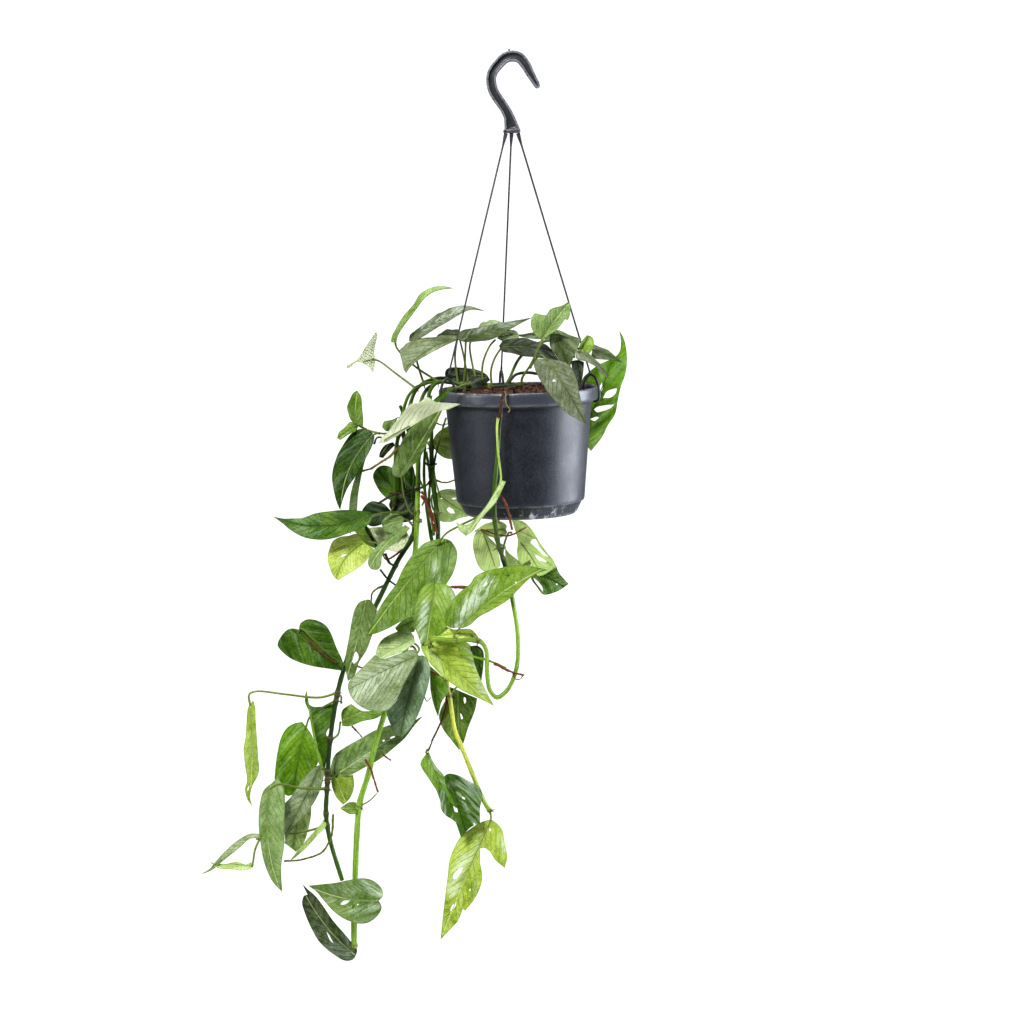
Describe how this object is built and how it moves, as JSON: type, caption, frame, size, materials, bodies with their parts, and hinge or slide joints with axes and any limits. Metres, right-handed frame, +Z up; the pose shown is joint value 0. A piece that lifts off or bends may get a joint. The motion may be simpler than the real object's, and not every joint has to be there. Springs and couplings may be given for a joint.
{
  "type": "potted trailing house plant",
  "caption": "Trailing cebu blue pothos with leathery pointed and split leaves, planted in a round plastic hanging pot with a rod hanger and a hook.",
  "frame": {"origin": "seat of the hook: the lowest point of the inside of its crown, which a rail or pin touches", "axes": "+Z up along the hanging plant, +X to the viewer's right in the picture, across the hook's throat, +Y away from the viewer"},
  "size_m": [0.4493, 0.1965, 0.9277],
  "materials": {
    "hanger_plastic": "satin moulded plastic, near black",
    "pot_plastic": "matte dark slate grey plastic with faint scuffs",
    "growing_mix": "loose chips of bark and coir, standing in as wood",
    "foliage_green": "waxy mid green leaves and stems, standing in as leather",
    "foliage_light": "waxy light green leaves and stems, standing in as leather",
    "foliage_dark": "waxy dark green leaves and stems, standing in as leather",
    "foliage_grey": "waxy grey green leaves with a silvery sheen, standing in as leather"
  },
  "bodies": {
    "root": {"hanger_hook": "hanger_plastic", "hanger_clip_left": "hanger_plastic", "hanger_clip_back": "hanger_plastic", "hanger_clip_right": "hanger_plastic", "hanger_strand_left": "hanger_plastic", "hanger_strand_back": "hanger_plastic", "hanger_strand_right": "hanger_plastic", "pot": "pot_plastic", "soil": "growing_mix", "vine_front": "foliage_green", "vine_middle": "foliage_green", "vine_light": "foliage_light", "vine_dark": "foliage_dark", "vine_left": "foliage_green", "crown_middle": "foliage_grey", "crown_right": "foliage_grey", "shoot_back": "foliage_light"}
  },
  "joints": []
}
